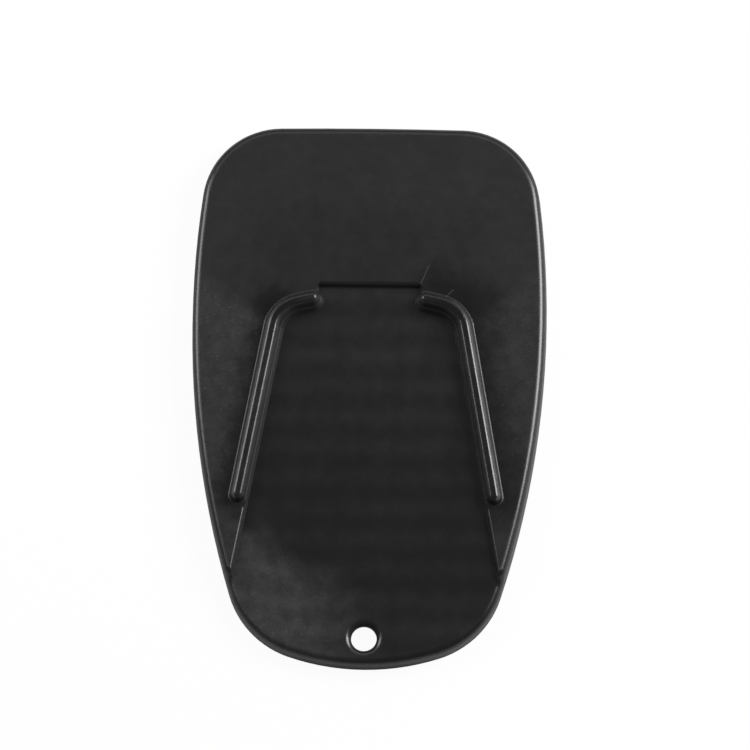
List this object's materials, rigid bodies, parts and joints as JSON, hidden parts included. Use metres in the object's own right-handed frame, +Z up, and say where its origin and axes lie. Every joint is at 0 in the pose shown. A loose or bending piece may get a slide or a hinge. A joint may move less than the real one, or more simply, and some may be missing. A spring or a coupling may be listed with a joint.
{
  "type": "kickstand foot enlarger",
  "caption": "Moulded plastic pad that spreads the load of a motorbike side stand: the stand's foot sits in a shallow pocket between bent rails, over a ribbed hollow underside.",
  "frame": {"origin": "centre of the underside, on the ground", "axes": "+Z up, out of the deck; -Y towards the toe, the narrow end with the cord hole; +X to the right when seen from above with the toe towards the viewer"},
  "size_m": [0.09, 0.14, 0.0107],
  "materials": {
    "black_plastic": "satin black moulded plastic"
  },
  "bodies": {
    "root": {"foot_plate": "black_plastic"}
  },
  "joints": []
}
